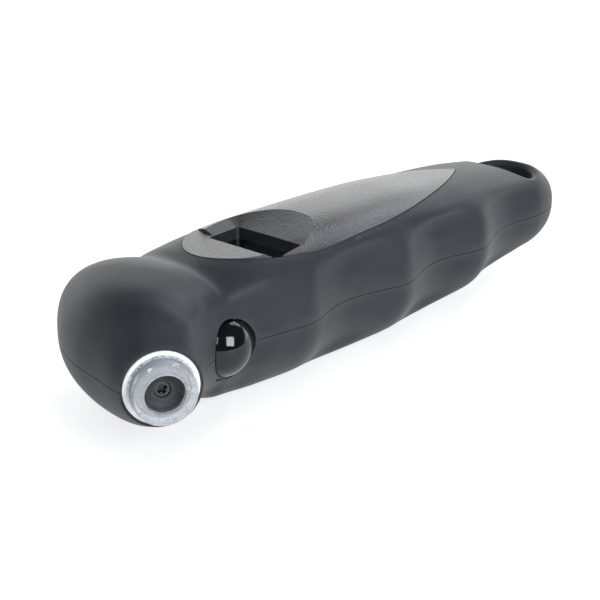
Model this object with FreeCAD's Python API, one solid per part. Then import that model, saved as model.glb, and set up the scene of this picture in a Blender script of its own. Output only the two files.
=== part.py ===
"""Digital tyre pressure gauge: a pistol-shaped housing with a nozzle, a push button and a display.

Millimetres. The gauge lies on its back: the flat of the belly is on z = 0, +Z points up out of the
display, +X runs along the grip from the head to the tail, and the nozzle points towards -Y. The
housing is drawn about its parting plane, with x counted from the head, and save() moves each piece
onto the resting flat.
"""
import FreeCAD, Part
import math
import os
from FreeCAD import Vector

# Housing: planform and heights about the parting plane, as (x, value) along the grip
WALL = 2.4
PARTING_GAP = 0.16
NEAR_SIDE = [(22.8, -13.5), (34.2, -14.8), (45.6, -14.8), (62.7, -16.1),
             (79.8, -16.5), (96.9, -16.7), (114.0, -14.8), (131.1, -13.2)]
FAR_SIDE = [(22.8, 23.5), (34.2, 21.4), (45.6, 19.3), (62.7, 17.3),
            (79.8, 16.1), (96.9, 15.0), (114.0, 14.7), (131.1, 13.9)]
TOP_HEIGHT = [(22.8, 14.4), (34.2, 15.9), (45.6, 16.9), (62.7, 17.3),
              (79.8, 16.9), (96.9, 15.5), (114.0, 13.9), (131.1, 11.4)]
BOTTOM_DEPTH = [(22.8, 14.7), (34.2, 15.3), (45.6, 15.7), (62.7, 15.7),
                (79.8, 15.3), (96.9, 14.4), (114.0, 13.2), (131.1, 11.8)]
TOP_SQUARENESS = [(22.8, 2.4), (34.2, 2.9), (45.6, 3.1), (96.9, 3.0), (131.1, 2.4)]
BOTTOM_SQUARENESS = 2.2
TAIL_ROUND_X = 127.3
TAIL_X = 147.9
TAIL_POWER = 2.5
REST_DEPTH = 15.1

# Finger grooves on the near side: the crests between them and the depth of each
GROOVE_CRESTS = [9.5, 42.75, 73.15, 103.55, 133.0]
GROOVE_DEPTHS = [2.5, 3.4, 3.7, 2.85]
GROOVE_POWER = 1.5
GROOVE_FADE_TOP = (0.5, 0.22)
GROOVE_FADE_BOTTOM = (0.6, 0.35)

# Head: sections fan round a pivot in the neck, from the nozzle boss to the start of the grip.
# Each list holds the values at even steps between those two ends.
NOZZLE_TILT = 31.8
BOSS_CENTRE = (0.1, -13.2)
BOSS_RADIUS = 8.15
HEAD_NEAR = [17.4, 16.5]
HEAD_FAR = [38.6, 44.6, 50.5, 55.4]
HEAD_TOP = [13.5, 15.3, 15.7]
HEAD_BOTTOM = [10.9, 11.6, 13.3]

# Section counts
HEAD_SECTIONS = 12
GRIP_SECTIONS = 35
TAIL_SECTIONS = 12
SECTION_POINTS = 19

# Nozzle pieces, as radii and as distances out of the boss face along the nozzle axis
COLLAR_FRONT = 3.5
COLLAR_FRONT_RADIUS = 6.3
COLLAR_SHOULDER_RADIUS = 6.4
COLLAR_BASE_RADIUS = 6.75
COLLAR_EDGE = 0.3
VALVE_BORE_RADIUS = 4.0
SEAL_FRONT = 2.2
SEAL_RADIUS = 4.55
SEAL_BACK = -3.0
SEAL_HOLE_RADIUS = 1.7
SEAL_THROAT = 1.0
SEAL_DISH = [(2.2, 3.85), (1.65, 3.3), (1.2, 2.5)]
SPIGOT_RADIUS = 5.5
FLANGE_FRONT = 0.3
FLANGE_BACK = -0.9
FLANGE_RADIUS = 7.5
FLANGE_EDGE = 0.2
FLANGE_SKIRT_RADIUS = 6.4
SKIRT_BACK = -3.4
SEAT_RADIUS = 7.65
SEAT_BACK = -1.2
THROAT_RADIUS = 6.6
THROAT_BACK = -6.4
PIN_RADIUS = 1.5
PIN_FRONT = 0.6
PIN_BACK = -6.3
PIN_GROOVE = (2.0, 0.75)
PIN_GROOVE_DEPTH = 0.9
PIN_FIT = 0.03
CHUCK_RADIUS = 4.4
CHUCK_COLLAR_FRONT = -6.2
CHUCK_COLLAR_RADIUS = 6.0
CHUCK_BACK = -12.0
BARB_RADIUS = 1.6
BARB_TIP_RADIUS = 1.2
BARB_BACK = -17.0
AIR_RADIUS = 0.7
CRADLE_FRONT = -7.6
CRADLE_BACK = -8.8

RING_BOARD = (-4.8, -4.0)
RING_LIGHT = (0.8, 1.0, 0.7)
TUBE_WALL = 0.8

# Clearances: between pieces that sit together, that slide, and that only stay apart
TUCK = 0.02
FIT = 0.05
CLEAR = 0.1

# Push button, on an axis along Y in the parting plane
BUTTON_X = 21.9
BUTTON_RADIUS = 5.75
BUTTON_HOLE_RADIUS = 6.1
BUTTON_FACE_Y = -11.0
BUTTON_DOME = 3.3
BUTTON_FLANGE_RADIUS = 6.8
BUTTON_POCKET_RADIUS = 7.2
BUTTON_POCKET_Y = -9.6
BUTTON_BACK_Y = -8.75
SWITCH_FRONT_Y = -6.8
PLUNGER_RADIUS = 1.7
PLUNGER_FRONT_Y = -8.4
PLUNGER_BACK_Y = -6.1
BUTTON_TRAVEL = 0.5
SWITCH = (6.0, 3.5)
SWITCH_BOTTOM_Z = -2.8

# Display insert: a leaf-shaped outline, given by its pointed end and points round each stretch
LEAF_TIP = (112.0, -0.9)
LEAF_NEAR = [(98.5, -7.2), (83.6, -11.0), (63.3, -12.4)]
LEAF_HEAD = [(42.7, -10.4), (31.6, -5.2), (26.7, 4.4), (32.6, 12.4), (45.0, 14.9)]
LEAF_FAR = [(62.0, 14.0), (84.0, 10.4), (98.0, 6.0)]
LEAF_MIDDLE = (62.0, 1.5)
LEAF_SLIMNESS = 0.4

# Display: the window opens in a level ledge at the insert's head end, and a scoop rises from it
WINDOW = (36.0, 45.2, -9.4, 8.5)
WINDOW_CORNERS = [3.0, 0.5, 0.8, 0.5]
LEDGE_Z = 15.05
LEDGE_HEAD = [(10.0, -20.0), (37.6, -20.0), (37.6, 10.0), (38.8, 16.0), (38.8, 30.0), (10.0, 30.0)]
SCOOP_TOP_Z = 17.6
SCOOP_NEAR = [(37.7, -9.5), (54.2, -9.5)]
SCOOP_TAIL = [(54.2, -9.5), (56.8, 1.3), (53.3, 10.9)]
SCOOP_FAR = [(53.3, 10.9), (51.0, 15.6), (45.7, 18.3)]
SCOOP_HEAD = [(45.7, 18.3), (38.9, 18.3), (37.7, -9.5)]
INSERT_THICKNESS = 1.2
INSERT_PROUD = 0.15
INSERT_GAP = 0.15
INSERT_FLOOR_Z = 11.2
WELL = (34.2, 56.0, -10.4, 13.4)
LENS_TOP_Z = 12.4
LENS_THICKNESS = 1.0
LENS_CORNER = 0.6
LCD = (34.4, 47.4, -9.8, 9.8)
LCD_TOP_Z = 11.3
LCD_THICKNESS = 2.0
CONTACT_EDGE = 1.8
ELASTOMER = (0.25, 1.65)
GUIDE_THICKNESS = 2.6
GUIDE_START = 2.2
GUIDE_MARGIN = (0.3, 0.6)
GUIDE_CORNER = 0.5
HOLDER_WALL = 0.8
SHELF_WIDTH = 1.6
BACKLIGHT_Y = (-5.0, 5.0)
BACKLIGHT = (1.0, 0.6, 0.9)

# Circuit board
BOARD = (17.0, 68.0, -7.9, 12.0)
BOARD_BOTTOM_Z = 3.2
BOARD_THICKNESS = 1.0
BOARD_CORNER = 1.5
BOARD_SCREWS = [(20.0, 9.4), (64.5, 9.4), (64.5, -5.6)]
BOARD_SCREW_RADIUS = 0.75
BOARD_SCREW_HEAD = (1.6, 1.0)
BOARD_SCREW_REACH = 5.0
BOARD_HOLE_RADIUS = 0.9
BOARD_PILOT_RADIUS = 0.8
BOARD_POST_RADIUS = 2.2
CHIP_CENTRE = (52.0, 2.0)
CHIP_SIDE = 7.0
CHIP_HEIGHT = 1.4
LEG_PITCH = 0.8
LEG_COUNT = 7
LEG_HALF_WIDTH = 0.18
CRYSTAL = (38.0, 48.5, -7.6, -4.2)
CRYSTAL_CORNER = 1.69
CRYSTAL_HEIGHT = 3.2
COMPONENT_ROWS = (-4.0, 7.8)
COMPONENT_START_X = 42.0
COMPONENT_PITCH = 5.2
COMPONENT_SHIFT = 1.3
COMPONENTS_PER_ROW = 4
COMPONENT = (2.0, 1.2, 0.7)
SENSOR = (26.5, 33.5, 3.0, 10.0)
SENSOR_PORT_Y = 6.5
SENSOR_PORT_X = 21.5
SENSOR_BOTTOM_Z = -2.6

# Battery compartment and door
CELL_RADIUS = 5.8
CELL_LENGTH = 5.4
CELL_COUNT = 3
CELL_START_X = 88.0
CELL_Y = -0.5
CELL_Z = -5.8
CELL_CAP = 0.7
CELL_CAP_STEP = 1.2
TRAY_SPARE = (2.0, 3.2)
TRAY_WALL = 1.2
TRAY_ROOF = 1.4
CONTACT_HALF_WIDTH = 3.5
CONTACT_TAG = 4.0
CONTACT_BUMP_RADIUS = 2.0
PLATE_THICKNESS = 0.38
SPRING_THICKNESS = 0.35
SPRING_WIDTH = 5.0
SPRING_NOSE = 0.6
SPRING_TIP_HEIGHT = 2.6
SPRING_END_GAP = 1.2
LEAD_RADIUS = 0.55
LEAD_BEND = 2.5
LEAD_ROWS = (-3.2, 2.2)
LEAD_HEIGHT = -3.0
LEAD_RISE_X = (77.0, 72.4)
LEAD_END_X = 63.5
DOOR = (84.6, 109.4, -8.0, 7.0)
DOOR_CORNER = 3.0
DOOR_THICKNESS = 1.5
DOOR_GAP = 0.15
DOOR_LEDGE = 1.1

# Screws of the housing
HOUSING_SCREWS = [(13.0, 14.0), (73.2, -8.6), (73.2, 10.6), (115.6, 0.6)]
POST_RADIUS = 3.0
SCREW_HEAD_Z = -8.0
SCREW_RADIUS = 1.1
SCREW_HEAD_RADIUS = 2.1
SCREW_HEAD_HEIGHT = 1.4
SLOT_LENGTH = 1.3
SLOT_WIDTH = 0.3
SCREW_TOP_Z = 6.0

# Lanyard opening through the tail
LANYARD_CENTRE = (133.5, 0.6)
LANYARD_HALF_LENGTH = 7.9
LANYARD_HALF_WIDTH = 8.6
LANYARD_WALL = 1.9
TAIL_SOLID_X = 128.6
LANYARD_ROUND = 1.2

# Worked out from the driving dimensions
TILT = math.radians(NOZZLE_TILT)
NOZZLE_AXIS = Vector(-math.sin(TILT), -math.cos(TILT), 0)
BOSS = Vector(BOSS_CENTRE[0], BOSS_CENTRE[1], 0)
FAN_X = NEAR_SIDE[0][0]
FAN_REACH = (FAN_X - BOSS.x) / math.cos(TILT)
FAN_PIVOT = Vector(FAN_X, BOSS.y - FAN_REACH * math.sin(TILT), 0)
FAN_ANGLE = math.pi / 2 - TILT
BOARD_TOP_Z = BOARD_BOTTOM_Z + BOARD_THICKNESS
FAR_AWAY = 40.0
EVERYWHERE = (-FAR_AWAY, 4 * FAR_AWAY, -FAR_AWAY, FAR_AWAY)
UP = Vector(0, 0, 1)
ORIGIN_X = 62.0
CELLS_END_X = CELL_START_X + CELL_COUNT * CELL_LENGTH
TRAY_START_X = CELL_START_X - TRAY_SPARE[0]
TRAY_END_X = CELLS_END_X + TRAY_SPARE[1]


# ---------------------------------------------------------------- simple shapes

def block(limits, low, high):
    """A box over (x0, x1, y0, y1), from z = low to z = high."""
    x0, x1, y0, y1 = limits
    return Part.makeBox(x1 - x0, y1 - y0, high - low, Vector(x0, y0, low))


def grown(limits, by):
    """(x0, x1, y0, y1) moved out by the same distance on all four sides."""
    x0, x1, y0, y1 = limits
    return (x0 - by, x1 + by, y0 - by, y1 + by)


def post(x, y, radius, low, high):
    """A vertical cylinder."""
    return Part.makeCylinder(radius, high - low, Vector(x, y, low), UP)


def button_rod(radius, front, back):
    """A cylinder on the push button's axis, from y = front to y = back."""
    return Part.makeCylinder(radius, back - front, Vector(BUTTON_X, front, 0), Vector(0, 1, 0))


def rounded_outline(limits, radii, z):
    """A rectangle's wire at height z, with radii for its four corners from (x0, y0) round by (x1, y0)."""
    x0, x1, y0, y1 = limits
    corners = [(x0, y0, 1, 1), (x1, y0, -1, 1), (x1, y1, -1, -1), (x0, y1, 1, -1)]
    starts = []
    edges = []
    for i, ((x, y, inward_x, inward_y), radius) in enumerate(zip(corners, radii)):
        centre = Vector(x + inward_x * radius, y + inward_y * radius, z)
        middle_angle = math.atan2(-inward_y, -inward_x)
        points = [centre + Vector(math.cos(middle_angle + step), math.sin(middle_angle + step), 0) * radius
                  for step in (-math.pi / 4, 0, math.pi / 4)]
        starts.append((points[0], points[2]))
        edges.append(Part.Arc(*points).toShape())
    for i in range(4):
        edges.append(Part.makeLine(starts[i][1], starts[(i + 1) % 4][0]))
    return Part.Wire(Part.__sortEdges__(edges))


def rounded_block(limits, radius, low, high):
    """A box with rounded vertical corners."""
    outline = rounded_outline(limits, [radius] * 4, low)
    return Part.Face(outline).extrude(Vector(0, 0, high - low))


def joined(shapes):
    """One solid from overlapping or touching shapes."""
    result = shapes[0]
    for shape in shapes[1:]:
        result = result.fuse(shape)
    return result.removeSplitter()


def turned(profile):
    """A solid of revolution about the nozzle axis from (distance out of the boss face, radius) points."""
    points = [Vector(radius, 0, distance) for distance, radius in profile]
    face = Part.Face(Part.makePolygon(points + points[:1]))
    return on_nozzle(face.revolve(Vector(0, 0, 0), UP, 360))


def on_nozzle(shape):
    """A shape drawn with +Z along the nozzle axis and z = 0 on the boss face, moved into place."""
    shape.Placement = FreeCAD.Placement(BOSS, FreeCAD.Rotation(UP, NOZZLE_AXIS)).multiply(shape.Placement)
    return shape


def nozzle_rod(radius, front, back):
    """A cylinder on the nozzle axis."""
    return turned([(back, 0), (back, radius), (front, radius), (front, 0)])


def bent_rod(points, radius, bend):
    """A round rod through points, with arcs of the same radius at the inner points."""
    edges = []
    start = points[0]
    for before, corner, after in zip(points, points[1:], points[2:]):
        back = (before - corner).normalize()
        ahead = (after - corner).normalize()
        half_turn = (math.pi - back.getAngle(ahead)) / 2
        inset = bend * math.tan(half_turn)
        to_centre = (back + ahead).normalize()
        depth = bend / math.cos(half_turn) - bend
        entry, leave = corner + back * inset, corner + ahead * inset
        edges.append(Part.makeLine(start, entry))
        edges.append(Part.Arc(entry, corner + to_centre * depth, leave).toShape())
        start = leave
    edges.append(Part.makeLine(start, points[-1]))
    section = Part.Wire(Part.makeCircle(radius, points[0], points[1] - points[0]))
    return Part.Wire(edges).makePipeShell([section], True, False)


# ---------------------------------------------------------------- housing surface

def smooth(points):
    """A monotone cubic curve through (position, value) points."""
    xs = [point[0] for point in points]
    ys = [point[1] for point in points]
    steps = [after - before for before, after in zip(xs, xs[1:])]
    slopes = [(after - before) / step for before, after, step in zip(ys, ys[1:], steps)]
    tangents = [slopes[0]]
    for i in range(1, len(slopes)):
        before, after = slopes[i - 1], slopes[i]
        if before * after <= 0:
            tangents.append(0.0)
            continue
        weight_before = 2 * steps[i] + steps[i - 1]
        weight_after = steps[i] + 2 * steps[i - 1]
        tangents.append((weight_before + weight_after) / (weight_before / before + weight_after / after))
    tangents.append(slopes[-1])

    def value(x):
        x = min(max(x, xs[0]), xs[-1])
        i = max(j for j in range(len(steps)) if xs[j] <= x)
        t = (x - xs[i]) / steps[i]
        ends = ys[i] * (1 + 2 * t) * (1 - t) ** 2 + ys[i + 1] * t * t * (3 - 2 * t)
        slants = tangents[i] * t * (1 - t) ** 2 - tangents[i + 1] * t * t * (1 - t)
        return ends + steps[i] * slants
    return value


def between(first, values, last):
    """A smooth curve over 0 to 1 from first, through evenly spaced values, to last."""
    knots = [first] + values + [last]
    return smooth([(i / (len(knots) - 1), value) for i, value in enumerate(knots)])


def groove_depth(x):
    """How far the finger grooves cut into the near side at x."""
    for start, end, depth in zip(GROOVE_CRESTS, GROOVE_CRESTS[1:], GROOVE_DEPTHS):
        if start <= x <= end:
            return depth * math.sin(math.pi * (x - start) / (end - start)) ** GROOVE_POWER
    return 0.0


NECK_GROOVE = groove_depth(FAN_X)
near_side, far_side = smooth(NEAR_SIDE), smooth(FAR_SIDE)
top_height, bottom_depth = smooth(TOP_HEIGHT), smooth(BOTTOM_DEPTH)
top_squareness = smooth(TOP_SQUARENESS)
head_near = between(FAN_REACH - BOSS_RADIUS, HEAD_NEAR, NEAR_SIDE[0][1] + NECK_GROOVE - FAN_PIVOT.y)
head_far = between(FAN_REACH + BOSS_RADIUS, HEAD_FAR, FAR_SIDE[0][1] - FAN_PIVOT.y)
head_top = between(BOSS_RADIUS, HEAD_TOP, TOP_HEIGHT[0][1])
head_bottom = between(BOSS_RADIUS, HEAD_BOTTOM, BOTTOM_DEPTH[0][1])


def fade(level, limits):
    """1 below the first limit, easing to 0 over the second limit's width."""
    start, width = limits
    part = min(max((level - start) / width, 0.0), 1.0)
    return 1 - part * part * (3 - 2 * part)


def head_station(part, side):
    """A section of the head: part is 0 at the boss and 1 at the start of the grip."""
    turn = FAN_ANGLE * (1 - part)
    groove = NECK_GROOVE * part * part * (3 - 2 * part)
    near, far = head_near(part) - groove, head_far(part)
    squareness = TOP_SQUARENESS[0][1] if side > 0 else BOTTOM_SQUARENESS
    return {"origin": FAN_PIVOT, "direction": Vector(-math.sin(turn), math.cos(turn), 0),
            "middle": (near + far) / 2, "half": (far - near) / 2, "groove": groove, "taper": 1.0,
            "rise": head_top(part) if side > 0 else head_bottom(part),
            "squareness": 2 + (squareness - 2) * part}


def grip_station(x, end, side):
    """A section across the grip at x, where the tail ends at x = end."""
    taper = 1.0
    if x > TAIL_ROUND_X:
        taper = (1 - ((x - TAIL_ROUND_X) / (end - TAIL_ROUND_X)) ** TAIL_POWER) ** (1 / TAIL_POWER)
    near, far = near_side(x), far_side(x)
    return {"origin": Vector(x, 0, 0), "direction": Vector(0, 1, 0),
            "middle": (near + far) / 2, "half": (far - near) / 2, "groove": groove_depth(x), "taper": taper,
            "rise": top_height(x) if side > 0 else bottom_depth(x),
            "squareness": top_squareness(x) if side > 0 else BOTTOM_SQUARENESS}


def stations(offset, side):
    """Every section of the housing, from the nozzle boss to the tail."""
    first = max(0.0, -offset) / FAN_REACH
    end = TAIL_X + offset
    result = [head_station(first + (1 - first) * i / HEAD_SECTIONS, side) for i in range(HEAD_SECTIONS)]
    grip_length = TAIL_ROUND_X - FAN_X
    for i in range(GRIP_SECTIONS):
        result.append(grip_station(FAN_X + grip_length * i / (GRIP_SECTIONS - 1), end, side))
    for i in range(1, TAIL_SECTIONS + 1):
        reach = math.sin(math.pi / 2 * i / (TAIL_SECTIONS + 1))
        result.append(grip_station(TAIL_ROUND_X + (end - TAIL_ROUND_X) * reach, end, side))
    return result


def half_section(station, offset, side):
    """Points over one half of a section, from the near side to the far side."""
    half = (station["half"] + offset) * station["taper"]
    rise = (station["rise"] + offset) * station["taper"]
    power = station["squareness"]
    fade_limits = GROOVE_FADE_TOP if side > 0 else GROOVE_FADE_BOTTOM
    points = []
    for i in range(SECTION_POINTS):
        angle = math.pi * i / (SECTION_POINTS - 1)
        across = math.cos(angle)
        up = math.sin(angle) if 0 < i < SECTION_POINTS - 1 else 0.0
        reach = ((abs(across) / half) ** power + (up / rise) ** power) ** (-1 / power)
        inward = 0.0
        if across > 0:
            inward = station["groove"] * station["taper"] * fade(reach * up / rise, fade_limits)
        point = station["origin"] + station["direction"] * (station["middle"] - reach * across + inward)
        points.append(Vector(point.x, point.y, side * reach * up))
    return points


def threaded(points):
    """A curve through points, spaced evenly along it."""
    curve = Part.BSplineCurve()
    curve.interpolate(Points=list(points), Parameters=[float(i) for i in range(len(points))])
    return curve


def woven(rows):
    """A smooth surface through rows of points."""
    ribs = [threaded(row) for row in rows]
    stringers = [threaded(poles) for poles in zip(*(rib.getPoles() for rib in ribs))]
    poles = [list(pole_row) for pole_row in zip(*(stringer.getPoles() for stringer in stringers))]
    surface = Part.BSplineSurface()
    surface.buildFromPolesMultsKnots(poles, stringers[0].getMultiplicities(), ribs[0].getMultiplicities(),
                                     stringers[0].getKnots(), ribs[0].getKnots(), False, False, 3, 3)
    return surface


def housing_half(side, offset=0.0):
    """The solid of the housing above (side 1) or below (side -1) the parting plane, grown by offset."""
    rows = [half_section(station, offset, side) for station in stations(offset, side)]
    skin = woven(rows).toShape()
    flat = [edge for edge in skin.Edges if edge.BoundBox.ZLength < 1e-6]
    arcs = [edge for edge in skin.Edges if edge.BoundBox.ZLength >= 1e-6]
    chords = [Part.makeLine(row[0], row[-1]) for row in (rows[0], rows[-1])]
    faces = [skin, Part.Face(Part.Wire(Part.__sortEdges__(flat + chords)))]
    for arc in arcs:
        chord = min(chords, key=lambda line: line.CenterOfMass.distanceToPoint(arc.CenterOfMass))
        faces.append(Part.Face(Part.Wire(Part.__sortEdges__([arc, chord]))))
    shell = Part.Shell(faces)
    shell.sewShape()
    solid = Part.Solid(Part.Shell(shell.Faces))
    if solid.Volume < 0:
        solid.reverse()
    return solid


# ---------------------------------------------------------------- cutters shared by the housing pieces

def lanyard_opening(extra=0.0):
    """The oval through the tail, wider by extra all round."""
    centre = Vector(LANYARD_CENTRE[0], LANYARD_CENTRE[1], -FAR_AWAY)
    oval = Part.Ellipse(centre + Vector(0, LANYARD_HALF_WIDTH + extra, 0),
                        centre + Vector(-LANYARD_HALF_LENGTH - extra, 0, 0), centre)
    return Part.Face(Part.Wire(oval.toShape())).extrude(Vector(0, 0, 2 * FAR_AWAY))


def leaf(extra=0.0):
    """The vertical prism of the display insert's leaf-shaped outline, wider by extra all round."""
    tip = Vector(LEAF_TIP[0] + 2 * extra, LEAF_TIP[1], 0)
    points = [tip]
    for x, y in LEAF_NEAR + LEAF_HEAD + LEAF_FAR:
        outward = Vector((x - LEAF_MIDDLE[0]) * LEAF_SLIMNESS, y - LEAF_MIDDLE[1], 0).normalize()
        points.append(Vector(x, y, 0) + outward * extra)
    curve = Part.BSplineCurve()
    curve.interpolate(points + [tip])
    outline = Part.Face(Part.Wire(curve.toShape()))
    outline.translate(Vector(0, 0, INSERT_FLOOR_Z))
    return outline.extrude(Vector(0, 0, FAR_AWAY))


def nozzle_opening():
    """The stepped round seat for the nozzle in the boss."""
    return nozzle_rod(SEAT_RADIUS, FAR_AWAY, SEAT_BACK).fuse(nozzle_rod(THROAT_RADIUS, 0, THROAT_BACK))


def button_opening():
    """The round hole for the push button, and the pocket behind it for the button's flange."""
    hole = button_rod(BUTTON_HOLE_RADIUS, -FAR_AWAY, BUTTON_POCKET_Y + 1)
    return hole.fuse(button_rod(BUTTON_POCKET_RADIUS, BUTTON_POCKET_Y, SWITCH_FRONT_Y))


# ---------------------------------------------------------------- housing

def hollow_half(side):
    """One half of the housing: a wall round the inside, and a solid loop at the tail."""
    loop = block((TAIL_SOLID_X, TAIL_X, -FAR_AWAY, FAR_AWAY), -FAR_AWAY, FAR_AWAY)
    inside = housing_half(side, -WALL).cut(lanyard_opening(LANYARD_WALL)).cut(loop)
    half = housing_half(side).cut(inside).cut(lanyard_opening())
    rings = [edge for edge in half.Edges if edge.BoundBox.XLength > LANYARD_HALF_LENGTH
             and abs(edge.CenterOfMass.x - LANYARD_CENTRE[0]) < LANYARD_HALF_LENGTH / 2]
    rim = max(rings, key=lambda edge: abs(edge.CenterOfMass.z))
    return half.makeFillet(LANYARD_ROUND, [rim])


def within(shape, side):
    """The part of an inner rib or post that lies inside one half of the housing."""
    return shape.common(housing_half(side, -WALL / 2))


def chuck_cradle(side):
    """A rib across the neck that holds the chuck body."""
    plate = nozzle_rod(FAR_AWAY, CRADLE_FRONT, CRADLE_BACK).common(
        nozzle_rod(BOSS_RADIUS + WALL, CRADLE_FRONT, CRADLE_BACK))
    return within(plate.cut(nozzle_rod(CHUCK_RADIUS + CLEAR, CRADLE_FRONT, CRADLE_BACK)), side)


def top_shell():
    shell = hollow_half(1)
    posts = [within(post(x, y, POST_RADIUS, 0, FAR_AWAY), 1) for x, y in HOUSING_SCREWS]
    board_posts = [within(post(x, y, BOARD_POST_RADIUS, BOARD_TOP_Z, FAR_AWAY), 1)
                   for x, y in BOARD_SCREWS]
    shell = joined([shell, chuck_cradle(1)] + posts + board_posts)
    cutters = [nozzle_opening(), button_opening(), block(EVERYWHERE, -1, PARTING_GAP / 2)]
    cutters += [post(x, y, SCREW_RADIUS + FIT, -1, SCREW_TOP_Z + 1) for x, y in HOUSING_SCREWS]
    cutters += [post(x, y, BOARD_PILOT_RADIUS, BOARD_TOP_Z - 1, BOARD_TOP_Z + BOARD_SCREW_REACH + 1)
                for x, y in BOARD_SCREWS]
    cutters.append(leaf(INSERT_GAP).cut(housing_half(1, -INSERT_THICKNESS - FIT)))
    cutters.append(block(grown(WELL, INSERT_GAP), LENS_TOP_Z, FAR_AWAY).common(leaf(INSERT_GAP)))
    cutters.append(block(grown(LCD, HOLDER_WALL + 2 * CLEAR), BOARD_TOP_Z - 1, LENS_TOP_Z + CLEAR))
    for cutter in cutters:
        shell = shell.cut(cutter)
    return shell


def door_outline(limits, low, high):
    """A rounded block over the battery door's outline."""
    return rounded_block(limits, DOOR_CORNER, low, high)


def bottom_shell():
    shell = hollow_half(-1)
    posts = [within(post(x, y, POST_RADIUS, -FAR_AWAY, 0), -1) for x, y in HOUSING_SCREWS]
    shell = joined([shell, chuck_cradle(-1)] + posts)
    cutters = [nozzle_opening(), button_opening(), block(EVERYWHERE, -PARTING_GAP / 2, 1)]
    cutters.append(block(EVERYWHERE, -FAR_AWAY, -REST_DEPTH))
    cutters += [post(x, y, SCREW_RADIUS + 2 * CLEAR, -FAR_AWAY, 1) for x, y in HOUSING_SCREWS]
    cutters += [post(x, y, SCREW_HEAD_RADIUS + 3 * CLEAR, -FAR_AWAY, SCREW_HEAD_Z) for x, y in HOUSING_SCREWS]
    seat = door_outline(grown(DOOR, DOOR_GAP), -FAR_AWAY, -1).cut(
        housing_half(-1, -DOOR_THICKNESS - DOOR_GAP))
    cutters.append(seat)
    cutters.append(door_outline(grown(DOOR, -DOOR_LEDGE), -FAR_AWAY, -WALL * 2))
    for cutter in cutters:
        shell = shell.cut(cutter)
    return shell


def battery_door():
    """A cover that follows the underside of the grip, with a skirt that drops into the opening."""
    plate = door_outline(DOOR, -FAR_AWAY, -1).common(housing_half(-1)).cut(
        housing_half(-1, -DOOR_THICKNESS))
    rim = grown(DOOR, -DOOR_LEDGE - DOOR_GAP)
    skirt = door_outline(rim, -FAR_AWAY, -1).cut(door_outline(grown(rim, -1.0), -FAR_AWAY, 0))
    skirt = skirt.common(housing_half(-1, -DOOR_THICKNESS + 2 * CLEAR)).cut(housing_half(-1, -WALL * 1.25))
    return joined([plate, skirt])


def screws(places, low, high, shank, head, head_height):
    """Screws standing with their heads down, as separate solids."""
    solids = []
    for x, y in places:
        body = post(x, y, shank, low, high).fuse(post(x, y, head, low - head_height, low))
        for reach_x, reach_y in ((SLOT_LENGTH, SLOT_WIDTH), (SLOT_WIDTH, SLOT_LENGTH)):
            half_x, half_y = head * reach_x / 2, head * reach_y / 2
            body = body.cut(block((x - half_x, x + half_x, y - half_y, y + half_y),
                                  low - head_height, low - head_height / 2))
        solids.append(body.removeSplitter())
    return Part.makeCompound(solids)


def housing_screws():
    return screws(HOUSING_SCREWS, SCREW_HEAD_Z, SCREW_TOP_Z, SCREW_RADIUS, SCREW_HEAD_RADIUS,
                  SCREW_HEAD_HEIGHT)


def board_screws():
    return screws(BOARD_SCREWS, BOARD_BOTTOM_Z, BOARD_TOP_Z + BOARD_SCREW_REACH, BOARD_SCREW_RADIUS,
                  *BOARD_SCREW_HEAD)


# ---------------------------------------------------------------- nozzle

def nozzle_collar():
    """The clear light collar: a tapered ring with a spigot that plugs into the flange."""
    return turned([
        (SEAL_BACK, SEAL_RADIUS + FIT), (SEAL_BACK, SPIGOT_RADIUS), (FLANGE_FRONT, SPIGOT_RADIUS),
        (FLANGE_FRONT, COLLAR_BASE_RADIUS), (COLLAR_FRONT - COLLAR_EDGE, COLLAR_SHOULDER_RADIUS),
        (COLLAR_FRONT, COLLAR_FRONT_RADIUS - COLLAR_EDGE), (COLLAR_FRONT, VALVE_BORE_RADIUS),
        (SEAL_FRONT, VALVE_BORE_RADIUS), (SEAL_FRONT, SEAL_RADIUS + FIT)])


def nozzle_flange():
    """The white reflector ring round the collar."""
    inner = SPIGOT_RADIUS + FIT
    return turned([
        (SKIRT_BACK, inner), (SKIRT_BACK, FLANGE_SKIRT_RADIUS), (FLANGE_BACK, FLANGE_SKIRT_RADIUS),
        (FLANGE_BACK, FLANGE_RADIUS), (FLANGE_FRONT - FLANGE_EDGE, FLANGE_RADIUS),
        (FLANGE_FRONT, FLANGE_RADIUS - FLANGE_EDGE), (FLANGE_FRONT, inner)])


def valve_seal():
    """The rubber cup that a valve is pressed into, dished towards the hole round the pin."""
    return turned([
        (SEAL_BACK, SEAL_HOLE_RADIUS), (SEAL_BACK, SEAL_RADIUS), (SEAL_FRONT, SEAL_RADIUS),
        *SEAL_DISH, (SEAL_THROAT, SEAL_HOLE_RADIUS)])


def depressor_pin():
    """The pin that opens the valve, with a cross of air grooves in its face."""
    pin = nozzle_rod(PIN_RADIUS, PIN_FRONT, PIN_BACK)
    for size in (PIN_GROOVE, PIN_GROOVE[::-1]):
        groove = Part.makeBox(size[0], size[1], PIN_GROOVE_DEPTH,
                              Vector(-size[0] / 2, -size[1] / 2, PIN_FRONT - PIN_GROOVE_DEPTH))
        pin = pin.cut(on_nozzle(groove))
    return pin


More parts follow.
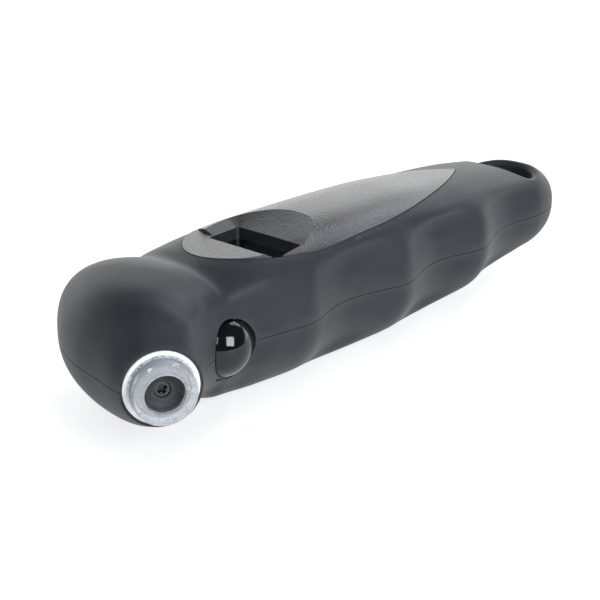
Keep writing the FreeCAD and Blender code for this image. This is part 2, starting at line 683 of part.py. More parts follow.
def chuck_body():
    """The chuck's turned body: a front socket for the pin, a locating collar and a barb for the tube."""
    body = turned([
        (SEAL_BACK - FIT, 0), (SEAL_BACK - FIT, CHUCK_RADIUS), (CHUCK_COLLAR_FRONT, CHUCK_RADIUS),
        (CHUCK_COLLAR_FRONT, CHUCK_COLLAR_RADIUS), (CRADLE_FRONT + CLEAR, CHUCK_COLLAR_RADIUS),
        (CRADLE_FRONT + CLEAR, CHUCK_RADIUS), (CHUCK_BACK, CHUCK_RADIUS), (CHUCK_BACK, BARB_RADIUS),
        (BARB_BACK + 1, BARB_RADIUS), (BARB_BACK, BARB_TIP_RADIUS), (BARB_BACK, 0)])
    body = body.cut(nozzle_rod(PIN_RADIUS + PIN_FIT, 0, PIN_BACK))
    return body.cut(nozzle_rod(AIR_RADIUS, 0, BARB_BACK - 1))


def light_board():
    """The ring-shaped board behind the collar that carries the nozzle lights."""
    back, front = RING_BOARD
    inner = CHUCK_RADIUS + CLEAR
    outer = FLANGE_SKIRT_RADIUS - 2 * CLEAR
    return turned([(back, inner), (back, outer), (front, outer), (front, inner)])


def nozzle_leds():
    """Four lights on the ring board, facing the collar's spigot."""
    length, width, height = RING_LIGHT
    light = Part.makeBox(length, width, height, Vector(-length / 2, -width / 2, RING_BOARD[1]))
    ring_radius = (SEAL_RADIUS + SPIGOT_RADIUS) / 2
    lights = []
    for quarter in range(4):
        one = light.copy()
        one.translate(Vector(ring_radius, 0, 0))
        one.rotate(Vector(0, 0, 0), UP, 45 + 90 * quarter)
        lights.append(on_nozzle(one))
    return Part.makeCompound(lights)


def sensor_tube():
    """The soft tube from the chuck's barb to the pressure sensor's port."""
    start = BOSS + NOZZLE_AXIS * (CHUCK_BACK - 3 * CLEAR)
    reach = (SENSOR_PORT_Y - BOSS.y) / NOZZLE_AXIS.y
    corner = BOSS + NOZZLE_AXIS * reach
    end = Vector(SENSOR[0] - 3 * CLEAR, SENSOR_PORT_Y, 0)
    turn = (math.pi - (start - corner).getAngle(end - corner)) / 2
    bend = 0.45 * (corner - start).Length / math.tan(turn)
    outside = bent_rod([start, corner, end], BARB_RADIUS + TUBE_WALL, bend)
    return outside.cut(bent_rod([start, corner, end], BARB_RADIUS + TUCK, bend))


# ---------------------------------------------------------------- push button and switch

def power_button():
    """A domed button with a flange behind the wall and a pad that meets the switch."""
    ball_radius = (BUTTON_RADIUS ** 2 + BUTTON_DOME ** 2) / (2 * BUTTON_DOME)
    ball = Part.makeSphere(ball_radius, Vector(BUTTON_X, BUTTON_FACE_Y - BUTTON_DOME + ball_radius, 0))
    dome = ball.common(button_rod(BUTTON_RADIUS, BUTTON_FACE_Y - BUTTON_DOME, BUTTON_FACE_Y + 0.5))
    flange_front = BUTTON_POCKET_Y + FIT
    return joined([dome, button_rod(BUTTON_RADIUS, BUTTON_FACE_Y, flange_front),
                   button_rod(BUTTON_FLANGE_RADIUS, flange_front, BUTTON_BACK_Y),
                   button_rod(2.0, BUTTON_BACK_Y, PLUNGER_FRONT_Y - FIT)])


def tactile_switch():
    """The side-acting switch on the underside of the board, with a socket for its plunger."""
    width, depth = SWITCH
    body = block((BUTTON_X - width / 2, BUTTON_X + width / 2, SWITCH_FRONT_Y, SWITCH_FRONT_Y + depth),
                 SWITCH_BOTTOM_Z, BOARD_BOTTOM_Z)
    socket_back = PLUNGER_BACK_Y + BUTTON_TRAVEL + 2 * CLEAR
    return body.cut(button_rod(PLUNGER_RADIUS + FIT, SWITCH_FRONT_Y - 1, socket_back))


def switch_plunger():
    return button_rod(PLUNGER_RADIUS, PLUNGER_FRONT_Y, PLUNGER_BACK_Y)


# ---------------------------------------------------------------- display

def polygon_above(points, z):
    """Everything over a polygon, from z upwards."""
    corners = [Vector(x, y, z) for x, y in points]
    return Part.Face(Part.makePolygon(corners + corners[:1])).extrude(Vector(0, 0, FAR_AWAY))


def scoop():
    """The flare from the window's edge up to the rim of the scoop."""
    x0, x1, y0, y1 = WINDOW
    inset = WINDOW_CORNERS[2]
    low = [[(x0, y0), (x1, y0)], [(x1, y0), (x1, y1 - inset)],
           [(x1, y1 - inset), (x1 - inset * 0.3, y1 - inset * 0.3), (x1 - inset, y1)],
           [(x1 - inset, y1), (x0, y1)], [(x0, y1), (x0, y0)]]
    high = [SCOOP_NEAR, SCOOP_TAIL, SCOOP_FAR, SCOOP_HEAD[:2], SCOOP_HEAD[1:]]
    rims = []
    for outline, z in ((low, LEDGE_Z), (high, SCOOP_TOP_Z)):
        edges = []
        for run in outline:
            points = [Vector(x, y, z) for x, y in run]
            edges.append(Part.Arc(*points).toShape() if len(points) == 3 else Part.makeLine(*points))
        rims.append(Part.Wire(edges))
    return Part.makeLoft(rims, True, True)


def display_mouth():
    """What is cut out of the insert: the window, the level ledge and the scoop."""
    window = Part.Face(rounded_outline(WINDOW, WINDOW_CORNERS, LENS_TOP_Z - 1))
    return [window.extrude(Vector(0, 0, FAR_AWAY)), scoop(), polygon_above(LEDGE_HEAD, LEDGE_Z)]


def display_insert():
    """The textured leaf let into the top of the grip, with the display's well under it, as one solid."""
    outline = leaf()
    outer = housing_half(1, INSERT_PROUD)
    skin = outline.common(outer).cut(housing_half(1, -INSERT_THICKNESS))
    well = block(WELL, LENS_TOP_Z, FAR_AWAY).common(outline).common(outer)
    insert = joined([skin, well])
    for cutter in display_mouth():
        insert = insert.cut(cutter)
    return max(insert.Solids, key=lambda solid: solid.Volume)


def display_window():
    """The tinted lens under the insert's well."""
    return rounded_block(LCD, LENS_CORNER, LENS_TOP_Z - LENS_THICKNESS, LENS_TOP_Z - TUCK)


def lcd_panel():
    """The display: two glass plates, the upper one shorter to leave the contact edge free."""
    x0, x1, y0, y1 = grown(LCD, -CLEAR)
    middle = LCD_TOP_Z - LCD_THICKNESS / 2
    lower = block((x0, x1, y0, y1), LCD_TOP_Z - LCD_THICKNESS, middle)
    return joined([lower, block((LCD[0] + CONTACT_EDGE, x1, y0, y1), middle, LCD_TOP_Z)])


def backlight_guide():
    x0, x1, y0, y1 = LCD
    top = LCD_TOP_Z - LCD_THICKNESS - FIT
    return rounded_block((x0 + GUIDE_START, x1 - GUIDE_MARGIN[0], y0 + GUIDE_MARGIN[1], y1 - GUIDE_MARGIN[1]),
                         GUIDE_CORNER, top - GUIDE_THICKNESS, top)


def backlight_led():
    """Two lights that shine into the bottom of the guide."""
    half_length, half_width, height = BACKLIGHT
    middle = (LCD[0] + LCD[1]) / 2
    lights = [block((middle - half_length, middle + half_length, y - half_width, y + half_width),
                    BOARD_TOP_Z, BOARD_TOP_Z + height) for y in BACKLIGHT_Y]
    return Part.makeCompound(lights)


def display_holder():
    """The frame that holds the display above the board."""
    frame = block(grown(LCD, HOLDER_WALL), BOARD_TOP_Z + TUCK, LCD_TOP_Z)
    frame = frame.cut(block(LCD, BOARD_TOP_Z - 1, FAR_AWAY))
    x0, x1, y0, y1 = LCD
    shelf_top = LCD_TOP_Z - LCD_THICKNESS - CLEAR - GUIDE_THICKNESS
    shelves = [block((x0 + GUIDE_START, x1, y0 - CLEAR, y0 + SHELF_WIDTH), shelf_top - 1, shelf_top),
               block((x0 + GUIDE_START, x1, y1 - SHELF_WIDTH, y1 + CLEAR), shelf_top - 1, shelf_top)]
    return joined([frame] + shelves)


def elastomer_connector():
    """The striped rubber bar that joins the board to the display's contact edge."""
    bar = (LCD[0] + ELASTOMER[0], LCD[0] + ELASTOMER[1], LCD[2] + 1, LCD[3] - 1)
    return block(bar, BOARD_TOP_Z + TUCK, LCD_TOP_Z - LCD_THICKNESS - TUCK)


# ---------------------------------------------------------------- electronics

def circuit_board():
    board = rounded_block(BOARD, BOARD_CORNER, BOARD_BOTTOM_Z, BOARD_TOP_Z)
    for x, y in BOARD_SCREWS:
        board = board.cut(post(x, y, BOARD_HOLE_RADIUS, 0, FAR_AWAY))
    return board


def microchip():
    """The controller: a square package with a row of legs on each side."""
    x, y = CHIP_CENTRE
    half = CHIP_SIDE / 2
    pieces = [block((x - half, x + half, y - half, y + half),
                    BOARD_BOTTOM_Z - CHIP_HEIGHT - CLEAR, BOARD_BOTTOM_Z - CLEAR)]
    for i in range(LEG_COUNT):
        along = (i - (LEG_COUNT - 1) / 2) * LEG_PITCH
        for reach_x, reach_y in ((half + 1, LEG_HALF_WIDTH), (LEG_HALF_WIDTH, half + 1)):
            shift_x, shift_y = (0, along) if reach_x > reach_y else (along, 0)
            pieces.append(block((x + shift_x - reach_x, x + shift_x + reach_x,
                                 y + shift_y - reach_y, y + shift_y + reach_y),
                                BOARD_BOTTOM_Z - 0.5, BOARD_BOTTOM_Z))
    return joined(pieces)


def timing_crystal():
    """The crystal's long can, lying under the board."""
    return rounded_block(CRYSTAL, CRYSTAL_CORNER, BOARD_BOTTOM_Z - CRYSTAL_HEIGHT, BOARD_BOTTOM_Z)


def chip_components():
    """The small capacitors and resistors round the controller."""
    length, width, height = COMPONENT
    parts = []
    for row, y in enumerate(COMPONENT_ROWS):
        for i in range(COMPONENTS_PER_ROW):
            x = COMPONENT_START_X + COMPONENT_PITCH * i + COMPONENT_SHIFT * row
            parts.append(block((x, x + length, y, y + width), BOARD_BOTTOM_Z - height, BOARD_BOTTOM_Z))
    return Part.makeCompound(parts)


def pressure_sensor():
    """The sensor's square package with a side port for the tube."""
    body = block(SENSOR, SENSOR_BOTTOM_Z, BOARD_BOTTOM_Z)
    port = Part.makeCylinder(BARB_RADIUS, SENSOR[0] - SENSOR_PORT_X, Vector(SENSOR_PORT_X, SENSOR_PORT_Y, 0),
                             Vector(1, 0, 0))
    channel = Part.makeCylinder(AIR_RADIUS, SENSOR[0] - SENSOR_PORT_X + 3,
                                Vector(SENSOR_PORT_X, SENSOR_PORT_Y, 0), Vector(1, 0, 0))
    return joined([body, port]).cut(channel)


# ---------------------------------------------------------------- battery

def cell_rod(radius, start, end):
    """A cylinder on the cells' axis."""
    return Part.makeCylinder(radius, end - start, Vector(start, CELL_Y, CELL_Z), Vector(1, 0, 0))


def button_cells():
    """A row of button cells, each a can with a narrower cap."""
    cells = []
    for i in range(CELL_COUNT):
        start = CELL_START_X + i * CELL_LENGTH
        can = cell_rod(CELL_RADIUS, start + CELL_CAP, start + CELL_LENGTH - FIT)
        cells.append(joined([can, cell_rod(CELL_RADIUS - CELL_CAP_STEP, start, start + CELL_CAP)]))
    return Part.makeCompound(cells)


def battery_tray():
    """The cradle over the cells, open towards the door."""
    half_width = CELL_RADIUS + TRAY_WALL
    tray = block((TRAY_START_X - 1, TRAY_END_X + 1, CELL_Y - half_width, CELL_Y + half_width),
                 CELL_Z, CELL_Z + CELL_RADIUS + TRAY_ROOF)
    return tray.cut(cell_rod(CELL_RADIUS + 2 * CLEAR, TRAY_START_X, TRAY_END_X))


def positive_contact():
    """A flat plate at the head end of the cells, with a solder tag."""
    front = TRAY_START_X + TUCK
    back = front + PLATE_THICKNESS
    plate = block((front, back, CELL_Y - CONTACT_HALF_WIDTH, CELL_Y + CONTACT_HALF_WIDTH),
                  CELL_Z - CONTACT_HALF_WIDTH, CELL_Z + CONTACT_TAG)
    bump = cell_rod(CONTACT_BUMP_RADIUS, back, CELL_START_X - TUCK)
    return joined([plate, bump])


def negative_contact():
    """A bent leaf spring at the tail end of the cells."""
    nose, root = CELLS_END_X + FIT, TRAY_END_X - TUCK
    end = root - SPRING_END_GAP
    outline = [(root, CONTACT_TAG), (root, -CONTACT_TAG), (nose, -SPRING_NOSE), (nose, SPRING_NOSE),
               (end, SPRING_TIP_HEIGHT), (end + SPRING_THICKNESS, SPRING_TIP_HEIGHT),
               (nose + SPRING_THICKNESS, SPRING_NOSE), (nose + SPRING_THICKNESS, CLEAR - SPRING_NOSE),
               (root - SPRING_THICKNESS, SPRING_NOSE - CONTACT_TAG), (root - SPRING_THICKNESS, CONTACT_TAG)]
    points = [Vector(x, CELL_Y - SPRING_WIDTH / 2, CELL_Z + z) for x, z in outline]
    return Part.Face(Part.makePolygon(points + points[:1])).extrude(Vector(0, SPRING_WIDTH, 0))


def battery_leads():
    """The two insulated wires from the battery tray to the board."""
    under_board = BOARD_BOTTOM_Z - LEAD_RADIUS - FIT
    route = [(TRAY_START_X - 1 - FIT, LEAD_HEIGHT), (LEAD_RISE_X[0], LEAD_HEIGHT),
             (LEAD_RISE_X[1], under_board), (LEAD_END_X, under_board)]
    leads = []
    for y in LEAD_ROWS:
        leads.append(bent_rod([Vector(x, y, z) for x, z in route], LEAD_RADIUS, LEAD_BEND))
    return Part.makeCompound(leads)


# ---------------------------------------------------------------- build

PIECES = [top_shell, bottom_shell, battery_door, housing_screws, board_screws, nozzle_collar, nozzle_flange,
          valve_seal, depressor_pin, chuck_body, light_board, nozzle_leds, sensor_tube, power_button,
          tactile_switch, switch_plunger, display_insert, display_window, lcd_panel, backlight_guide,
          backlight_led, display_holder, elastomer_connector, circuit_board, microchip, timing_crystal,
          chip_components, pressure_sensor, button_cells, battery_tray, positive_contact, negative_contact,
          battery_leads]


def save(name, shape):
    """Moves a piece onto the resting flat and writes its file."""
    shape.translate(Vector(-ORIGIN_X, 0, REST_DEPTH))
    shape.exportStep(f"parts/{name}.step")
    print(f"{name:22s} solids {len(shape.Solids)} valid {shape.isValid()} volume {shape.Volume:9.1f}")


os.makedirs("parts", exist_ok=True)
for piece in PIECES:
    save(piece.__name__, piece())
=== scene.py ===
"""Looks of the digital tyre pressure gauge: finishes, floor, studio light and camera. Metres."""
import math

import bpy
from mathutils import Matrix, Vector

# Camera: where it stands and how it is turned
CAMERA_PLACE = (-0.2382, -0.1984, 0.1360)
CAMERA_DOWN = 22.07
CAMERA_HEADING = -49.42
CAMERA_LENS = 90
SENSOR = 36

# Floor: a light table that is pale and glows a little
FLOOR_SIZE = 8.0
FLOOR_DROP = 0.0002
TABLE_GLOW = 0.74

# Backdrop: the direction its light comes from, and its colours as that direction is neared
BACKDROP_SIDE = (0.468, 0.401, -0.788)
BACKDROP_STRENGTH = 2.5
SWEEP = [(0.05, (0.02, 0.02, 0.022)), (0.22, (1.0, 1.0, 1.0))]

# Soft boxes: each one's place, width and height, power, and turn about its own axis in degrees
SOFTBOXES = {
    "front": ((-0.11, -0.95, 0.5), (0.5, 0.56), 11, -18),
    "left": ((-0.71, -0.4, 0.6), (0.12, 0.4), 1.8, 0),
    "right": ((0.72, 0.0, 0.71), (0.45, 0.6), 2.6, 0),
    "behind": ((-0.68, 0.55, 0.5), (0.4, 0.4), 1.0, 0),
}
SOFTBOX_TARGET = (0.0, 0.0, 0.016)
SOFTBOX_COLOUR = (0.86, 0.93, 1.0)
FILL_STRENGTH = 0.9
FILL_ANGLE = 60

# Finishes: how finely each noise is broken up, the part of a noise's range that is used, and the
# pointiness from which an edge starts to take its edge colour and at which it fully has it (wear on most
# finishes, a painted highlight on the clear collar and a painted sheen on the housing's rims)
WANDER_DETAIL = 5
GRAIN_DETAIL = 3
PEBBLE_DETAIL = 2
NOISE_SPAN = (0.3, 0.7)
EDGE_SPAN = (0.52, 0.62)
STRIPE_SCALE = 600
STRIPE_WAVER = 0.2
METAL = {"Metallic": 1.0}

# The colour sockets of a Mix node, whose names are shared with its other sockets
MIX_FIRST = 6
MIX_SECOND = 7
MIX_RESULT = 2

WHITE = (1.0, 1.0, 1.0)
MM = 0.001


# ---------------------------------------------------------------- node helpers

def add(tree, kind, settings=None, **inputs):
    """A node with its settings and its unlinked inputs filled in."""
    node = tree.nodes.new(kind)
    for key, value in (settings or {}).items():
        setattr(node, key, value)
    for key, value in inputs.items():
        node.inputs[key].default_value = value
    return node


def place(tree):
    """The point's place on the object."""
    return add(tree, "ShaderNodeTexCoord").outputs["Object"]


def noise(tree, size, detail):
    """Noise with features of about this size."""
    node = add(tree, "ShaderNodeTexNoise", Scale=1 / size, Detail=detail)
    tree.links.new(place(tree), node.inputs["Vector"])
    return node.outputs["Fac"]


def ramp(tree, source, stops):
    """A colour ramp over source, from its two (position, colour) stops."""
    node = add(tree, "ShaderNodeValToRGB")
    for element, (position, colour) in zip(node.color_ramp.elements, stops):
        element.position = position
        element.color = (*colour, 1)
    tree.links.new(source, node.inputs["Fac"])
    return node.outputs["Color"]


def spread(tree, source, span, low, high):
    """source's range over span, mapped onto low to high."""
    node = add(tree, "ShaderNodeMapRange")
    start, end = span
    for key, value in (("From Min", start), ("From Max", end), ("To Min", low), ("To Max", high)):
        node.inputs[key].default_value = value
    tree.links.new(source, node.inputs["Value"])
    return node.outputs["Result"]


def mix(tree, factor, first, second):
    """The colour first, going over to the fixed colour second as factor grows."""
    node = add(tree, "ShaderNodeMix", {"data_type": "RGBA"})
    tree.links.new(factor, node.inputs["Factor"])
    tree.links.new(first, node.inputs[MIX_FIRST])
    node.inputs[MIX_SECOND].default_value = (*second, 1)
    return node.outputs[MIX_RESULT]


def bump(tree, shader, layers):
    """Relief from (height output, depth) layers, one over the other."""
    normal = None
    for height, depth in layers:
        node = add(tree, "ShaderNodeBump", Distance=depth, Strength=1.0)
        tree.links.new(height, node.inputs["Height"])
        if normal:
            tree.links.new(normal, node.inputs["Normal"])
        normal = node.outputs["Normal"]
    tree.links.new(normal, shader.inputs["Normal"])


def paint_edges(tree, colour, edge_wear_and_highlight):
    """colour, going over to the edge colour on the sharp outer edges: wear on most finishes, a painted
    highlight on the clear collar and a painted sheen on the housing's rims.
    """
    pointiness = add(tree, "ShaderNodeNewGeometry").outputs["Pointiness"]
    return mix(tree, spread(tree, pointiness, EDGE_SPAN, 0, 1), colour, edge_wear_and_highlight)


def textured(name, rough, grain, relief=None, sockets=None):
    """A material whose roughness varies over the range rough with a fine grain, raised by relief.

    sockets holds other values of its shader.
    """
    made = bpy.data.materials.new(name)
    made.use_nodes = True
    tree = made.node_tree
    shader = tree.nodes["Principled BSDF"]
    fine = noise(tree, grain, GRAIN_DETAIL)
    tree.links.new(spread(tree, fine, NOISE_SPAN, *rough), shader.inputs["Roughness"])
    if relief:
        bump(tree, shader, [(fine, relief)])
    for socket, value in (sockets or {}).items():
        shader.inputs[socket].default_value = value
    return made, tree, shader


def surface(name, dark, light, patch, edge_wear_and_highlight=None, **texture):
    """A textured material whose colour wanders in patches from dark to light, with an edge colour on its
    sharp edges: wear on most finishes, painted light on the clear collar and the housing.
    """
    made, tree, shader = textured(name, **texture)
    start, end = NOISE_SPAN
    colour = ramp(tree, noise(tree, patch, WANDER_DETAIL), [(start, dark), (end, light)])
    if edge_wear_and_highlight:
        colour = paint_edges(tree, colour, edge_wear_and_highlight)
    tree.links.new(colour, shader.inputs["Base Color"])
    return made, tree, shader


# ---------------------------------------------------------------- finishes

def soft_touch():
    """The housing's rubbery coat: charcoal, matt, a touch blue, with a faint sheen on its rounded rims: the
    shader's own sheen, and a painted sheen where the rims are coloured lighter.
    """
    return surface("soft_touch", dark=(0.013, 0.0145, 0.019), light=(0.019, 0.021, 0.026),
                   rough=(0.46, 0.58), patch=6 * MM, grain=0.22 * MM, relief=0.012 * MM,
                   # painted sheen: the sharp rims are coloured lighter than the coat
                   edge_wear_and_highlight=(0.035, 0.035, 0.038),
                   sockets={"Specular IOR Level": 0.34, "Sheen Weight": 0.05, "Sheen Roughness": 0.5})[0]


def grained_plastic():
    """The insert's spark-eroded plastic: a pebbled grain that glints at a low angle."""
    made, tree, shader = surface("grained_plastic", dark=(0.013, 0.013, 0.015), light=(0.025, 0.025, 0.028),
                                 rough=(0.3, 0.42), patch=1.2 * MM, grain=0.3 * MM,
                                 sockets={"Specular IOR Level": 0.9})
    pebbles = noise(tree, 0.5 * MM, PEBBLE_DETAIL)
    grit = noise(tree, 0.22 * MM, PEBBLE_DETAIL)
    bump(tree, shader, [(pebbles, 0.11 * MM), (grit, 0.03 * MM)])
    return made


def gloss_black():
    """The button's polished black plastic, with faint handling marks."""
    return surface("gloss_black", dark=(0.003, 0.003, 0.004), light=(0.006, 0.006, 0.007),
                   rough=(0.04, 0.1), patch=4 * MM, grain=1.6 * MM, relief=0.002 * MM)[0]


def clear_acrylic():
    """The light collar: faintly milky, blue-grey clear plastic with moulding flow inside, and painted white
    highlights on its sharp edges.
    """
    return surface("clear_acrylic", dark=(0.68, 0.76, 0.84), light=(0.9, 0.94, 0.98),
                   # painted highlight: the sharp edges and the bore's rim are coloured white
                   rough=(0.03, 0.12), patch=2.5 * MM, grain=1.1 * MM, relief=0.05 * MM, edge_wear_and_highlight=WHITE,
                   sockets={"Transmission Weight": 0.75, "IOR": 1.49})[0]


def white_plastic():
    """The nozzle's flange and the display's holder."""
    return surface("white_plastic", dark=(0.72, 0.73, 0.75), light=(0.82, 0.83, 0.84),
                   rough=(0.35, 0.5), patch=5 * MM, grain=0.4 * MM, relief=0.01 * MM,
                   edge_wear_and_highlight=(0.9, 0.9, 0.9))[0]


def black_rubber():
    """The valve seal."""
    return surface("black_rubber", dark=(0.012, 0.012, 0.013), light=(0.03, 0.03, 0.032),
                   rough=(0.55, 0.75), patch=2 * MM, grain=0.3 * MM, relief=0.015 * MM,
                   edge_wear_and_highlight=(0.05, 0.05, 0.05))[0]


def turned_brass():
    """The chuck's body."""
    return surface("turned_brass", dark=(0.50, 0.33, 0.12), light=(0.70, 0.52, 0.24),
                   rough=(0.18, 0.34), patch=2 * MM, grain=0.3 * MM, relief=0.006 * MM,
                   edge_wear_and_highlight=(0.85, 0.7, 0.4), sockets=METAL)[0]


def blackened_pin():
    """The depressor pin's dark coating, a little lighter on its edges."""
    return surface("blackened_pin", dark=(0.008, 0.008, 0.009), light=(0.018, 0.018, 0.018),
                   rough=(0.35, 0.5), patch=1 * MM, grain=0.25 * MM, relief=0.006 * MM,
                   edge_wear_and_highlight=(0.05, 0.05, 0.05))[0]


def plated_steel():
    """The screws."""
    return surface("plated_steel", dark=(0.36, 0.36, 0.37), light=(0.52, 0.52, 0.53),
                   rough=(0.25, 0.42), patch=2 * MM, grain=0.25 * MM, relief=0.006 * MM,
                   edge_wear_and_highlight=(0.7, 0.7, 0.7), sockets=METAL)[0]


def solder_mask():
    """The circuit board's green coating."""
    return surface("solder_mask", dark=(0.01, 0.09, 0.035), light=(0.02, 0.15, 0.06),
                   rough=(0.28, 0.4), patch=3 * MM, grain=0.5 * MM, relief=0.01 * MM,
                   edge_wear_and_highlight=(0.1, 0.22, 0.1))[0]


def white_mask():
    """The light board's white coating."""
    return surface("white_mask", dark=(0.6, 0.61, 0.62), light=(0.72, 0.73, 0.74),
                   rough=(0.3, 0.45), patch=2 * MM, grain=0.4 * MM, relief=0.008 * MM,
                   edge_wear_and_highlight=(0.8, 0.8, 0.8))[0]


def resin_lens():
    """The lights' yellowish resin."""
    return surface("resin_lens", dark=(0.85, 0.84, 0.7), light=(0.93, 0.92, 0.8),
                   rough=(0.12, 0.25), patch=1 * MM, grain=0.3 * MM, relief=0.006 * MM,
                   sockets={"Subsurface Weight": 0.3, "Subsurface Scale": 0.5 * MM})[0]


def silicone():
    """The air tube's milky rubber."""
    return surface("silicone", dark=(0.52, 0.52, 0.5), light=(0.66, 0.66, 0.63),
                   rough=(0.4, 0.55), patch=3 * MM, grain=0.5 * MM, relief=0.01 * MM,
                   sockets={"Subsurface Weight": 0.4, "Subsurface Scale": 1 * MM})[0]


def moulded_black():
    """The black packages, the switch and the battery tray."""
    return surface("moulded_black", dark=(0.014, 0.014, 0.015), light=(0.028, 0.028, 0.03),
                   rough=(0.4, 0.55), patch=2 * MM, grain=0.3 * MM, relief=0.01 * MM,
                   edge_wear_and_highlight=(0.06, 0.06, 0.06))[0]


def smoked_lens():
    """The display's window: almost black and fairly smooth."""
    return surface("smoked_lens", dark=(0.001, 0.001, 0.001), light=(0.002, 0.002, 0.002),
                   rough=(0.06, 0.16), patch=3 * MM, grain=0.5 * MM, relief=0.001 * MM,
                   sockets={"Specular IOR Level": 0.2})[0]


def display_glass():
    """The display panel's dark green-grey glass."""
    return surface("display_glass", dark=(0.05, 0.06, 0.055), light=(0.08, 0.09, 0.08),
                   rough=(0.08, 0.16), patch=4 * MM, grain=1 * MM, relief=0.001 * MM)[0]


def frosted_acrylic():
    """The backlight's frosted guide."""
    return surface("frosted_acrylic", dark=(0.75, 0.78, 0.8), light=(0.85, 0.87, 0.88),
                   rough=(0.3, 0.5), patch=3 * MM, grain=0.4 * MM, relief=0.01 * MM,
                   sockets={"Transmission Weight": 0.5})[0]


def striped_elastomer():
    """A rubber bar of thin black and white layers across its length."""
    made, tree, shader = textured("striped_elastomer", rough=(0.5, 0.65), grain=0.4 * MM, relief=0.01 * MM)
    stripes = add(tree, "ShaderNodeTexWave", {"bands_direction": "Y"},
                  Scale=STRIPE_SCALE, Distortion=STRIPE_WAVER)
    tree.links.new(place(tree), stripes.inputs["Vector"])
    colour = ramp(tree, stripes.outputs["Color"], [(0.45, (0.03, 0.03, 0.03)), (0.55, (0.66, 0.6, 0.62))])
    tree.links.new(colour, shader.inputs["Base Color"])
    return made


def drawn_can():
    """The crystal's bright can."""
    return surface("drawn_can", dark=(0.62, 0.62, 0.63), light=(0.78, 0.78, 0.79),
                   rough=(0.1, 0.24), patch=2 * MM, grain=0.4 * MM, relief=0.004 * MM,
                   edge_wear_and_highlight=(0.9, 0.9, 0.9), sockets=METAL)[0]


def fired_ceramic():
    """The small components' brown bodies, pale on their edges."""
    return surface("fired_ceramic", dark=(0.26, 0.19, 0.11), light=(0.4, 0.31, 0.2),
                   rough=(0.35, 0.5), patch=0.8 * MM, grain=0.2 * MM, relief=0.008 * MM,
                   edge_wear_and_highlight=(0.6, 0.58, 0.55))[0]


def nickel_can():
    """The button cells."""
    return surface("nickel_can", dark=(0.58, 0.58, 0.57), light=(0.74, 0.74, 0.73),
                   rough=(0.2, 0.36), patch=3 * MM, grain=0.3 * MM, relief=0.005 * MM,
                   edge_wear_and_highlight=(0.85, 0.85, 0.85), sockets=METAL)[0]


def spring_bronze():
    """The battery contacts."""
    return surface("spring_bronze", dark=(0.5, 0.44, 0.3), light=(0.66, 0.6, 0.46),
                   rough=(0.22, 0.38), patch=2 * MM, grain=0.3 * MM, relief=0.005 * MM,
                   edge_wear_and_highlight=(0.8, 0.75, 0.6), sockets=METAL)[0]


def wire_insulation():
    """The battery leads' red plastic."""
    return surface("wire_insulation", dark=(0.36, 0.015, 0.012), light=(0.5, 0.03, 0.025),
                   rough=(0.35, 0.5), patch=2 * MM, grain=0.4 * MM, relief=0.008 * MM,
                   edge_wear_and_highlight=(0.6, 0.08, 0.06))[0]


FINISHES = {
    soft_touch: ["top_shell", "bottom_shell", "battery_door"],
    grained_plastic: ["display_insert"],
    gloss_black: ["power_button"],
    clear_acrylic: ["nozzle_collar"],
    white_plastic: ["nozzle_flange", "display_holder"],
    black_rubber: ["valve_seal"],
    turned_brass: ["chuck_body"],
    blackened_pin: ["depressor_pin"],
    plated_steel: ["housing_screws", "board_screws"],
    white_mask: ["light_board"],
    solder_mask: ["circuit_board"],
    resin_lens: ["nozzle_leds", "backlight_led"],
    silicone: ["sensor_tube"],
    moulded_black: ["tactile_switch", "switch_plunger", "microchip", "pressure_sensor", "battery_tray"],
    smoked_lens: ["display_window"],
    display_glass: ["lcd_panel"],
    frosted_acrylic: ["backlight_guide"],
    striped_elastomer: ["elastomer_connector"],
    drawn_can: ["timing_crystal"],
    fired_ceramic: ["chip_components"],
    nickel_can: ["button_cells"],
    spring_bronze: ["positive_contact", "negative_contact"],
    wire_insulation: ["battery_leads"],
}


def dress(nodes):
    """Gives every CAD node its finish."""
    for finish, names in FINISHES.items():
        made = finish()
        for name in names:
            nodes[name].data.materials.clear()
            nodes[name].data.materials.append(made)


# ---------------------------------------------------------------- studio

def table_top():
    """The light table's milky sheet."""
    return surface("table_top", dark=(0.33, 0.33, 0.335), light=(0.37, 0.37, 0.375),
                   rough=(0.6, 0.75), patch=40 * MM, grain=2 * MM, relief=0.01 * MM,
                   sockets={"Emission Color": (*WHITE, 1), "Emission Strength": TABLE_GLOW})[0]


def floor():
    """A plain pale light table under the gauge."""
    bpy.ops.mesh.primitive_plane_add(size=FLOOR_SIZE, location=(0, 0, -FLOOR_DROP))
    ground = bpy.context.object
    ground.name = "floor"
    ground.data.materials.append(table_top())


def softbox(name, place_at, size, power, turn):
    """A rectangular area light that faces the gauge, turned by so many degrees about its own axis."""
    light = bpy.data.lights.new(name, "AREA")
    light.shape = "RECTANGLE"
    light.size, light.size_y = size
    light.energy = power
    light.color = SOFTBOX_COLOUR
    box = bpy.data.objects.new(name, light)
    box.location = place_at
    facing = Vector(SOFTBOX_TARGET) - Vector(place_at)
    box.rotation_euler = facing.to_track_quat("-Z", "Y").to_euler()
    box.rotation_euler.rotate_axis("Z", math.radians(turn))
    bpy.context.scene.collection.objects.link(box)


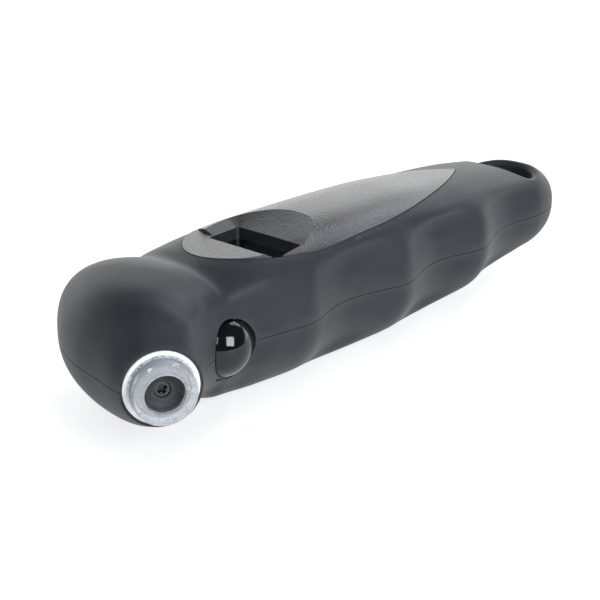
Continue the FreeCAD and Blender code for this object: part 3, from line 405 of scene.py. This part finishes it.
def backdrop():
    """A world that looks white, and lights the object from low down on the far side only."""
    world = bpy.data.worlds.new("studio")
    world.use_nodes = True
    tree = world.node_tree
    facing = add(tree, "ShaderNodeVectorMath", {"operation": "DOT_PRODUCT"})
    facing.inputs[1].default_value = BACKDROP_SIDE
    tree.links.new(add(tree, "ShaderNodeTexCoord").outputs["Generated"], facing.inputs[0])
    light = ramp(tree, facing.outputs["Value"], SWEEP)
    seen = add(tree, "ShaderNodeLightPath").outputs["Is Camera Ray"]
    background = tree.nodes["Background"]
    tree.links.new(mix(tree, seen, light, WHITE), background.inputs["Color"])
    background.inputs["Strength"].default_value = BACKDROP_STRENGTH
    bpy.context.scene.world = world


def fill():
    """Broad, even light from above that leaves no highlight of its own."""
    sun = bpy.data.lights.new("fill", "SUN")
    sun.energy = FILL_STRENGTH
    sun.angle = math.radians(FILL_ANGLE)
    made = bpy.data.objects.new("fill", sun)
    made.visible_glossy = False
    bpy.context.scene.collection.objects.link(made)


def studio():
    """A white backdrop behind the table, soft boxes around the gauge, and an even fill."""
    backdrop()
    fill()
    for name, (place_at, size, power, turn) in SOFTBOXES.items():
        softbox(name, place_at, size, power, turn)


def camera():
    """The view from above the nozzle's side."""
    data = bpy.data.cameras.new("camera")
    data.lens = CAMERA_LENS
    data.sensor_width = SENSOR
    made = bpy.data.objects.new("camera", data)
    made.location = CAMERA_PLACE
    made.rotation_euler = (math.radians(90 - CAMERA_DOWN), 0, math.radians(CAMERA_HEADING))
    bpy.context.scene.collection.objects.link(made)
    bpy.context.scene.camera = made


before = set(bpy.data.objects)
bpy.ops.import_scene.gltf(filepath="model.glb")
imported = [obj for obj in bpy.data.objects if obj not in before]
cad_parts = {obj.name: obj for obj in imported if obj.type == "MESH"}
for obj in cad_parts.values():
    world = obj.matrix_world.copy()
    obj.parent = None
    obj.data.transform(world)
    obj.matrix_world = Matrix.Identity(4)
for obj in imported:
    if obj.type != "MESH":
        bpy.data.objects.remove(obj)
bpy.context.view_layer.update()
dress(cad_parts)
floor()
studio()
camera()
bpy.context.scene.view_settings.view_transform = "Standard"
